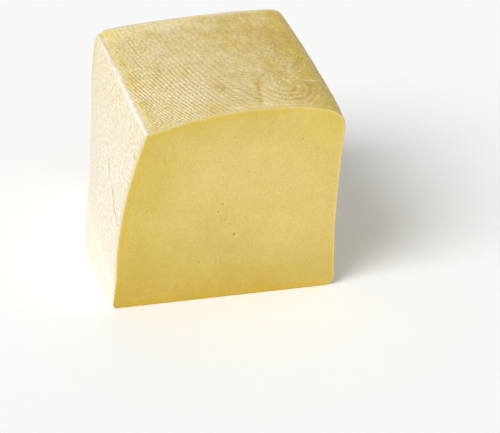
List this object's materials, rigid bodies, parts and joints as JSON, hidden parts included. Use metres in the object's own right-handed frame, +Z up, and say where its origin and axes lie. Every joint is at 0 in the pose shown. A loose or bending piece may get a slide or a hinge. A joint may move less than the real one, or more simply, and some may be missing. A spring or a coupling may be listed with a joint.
{
  "type": "tilsit cheese",
  "caption": "Half loaf of semi-hard cheese: one block with a domed top, a swelling left wall, a rounded end and a flat cut face. It stands on its flat base.",
  "frame": {"origin": "middle of the block's bounding box, at the level of the surface it stands on", "axes": "+Z up; +Y from the cut face back to the rounded end of the loaf; +X to the right when looking at the cut face"},
  "size_m": [0.1502, 0.1774, 0.1201],
  "materials": {
    "cheese": "pale yellow paste with a satin sheen on the cut, inside a cream to olive-gold rind with a fine cloth imprint"
  },
  "bodies": {
    "root": {"cheese_block": "cheese"}
  },
  "joints": []
}
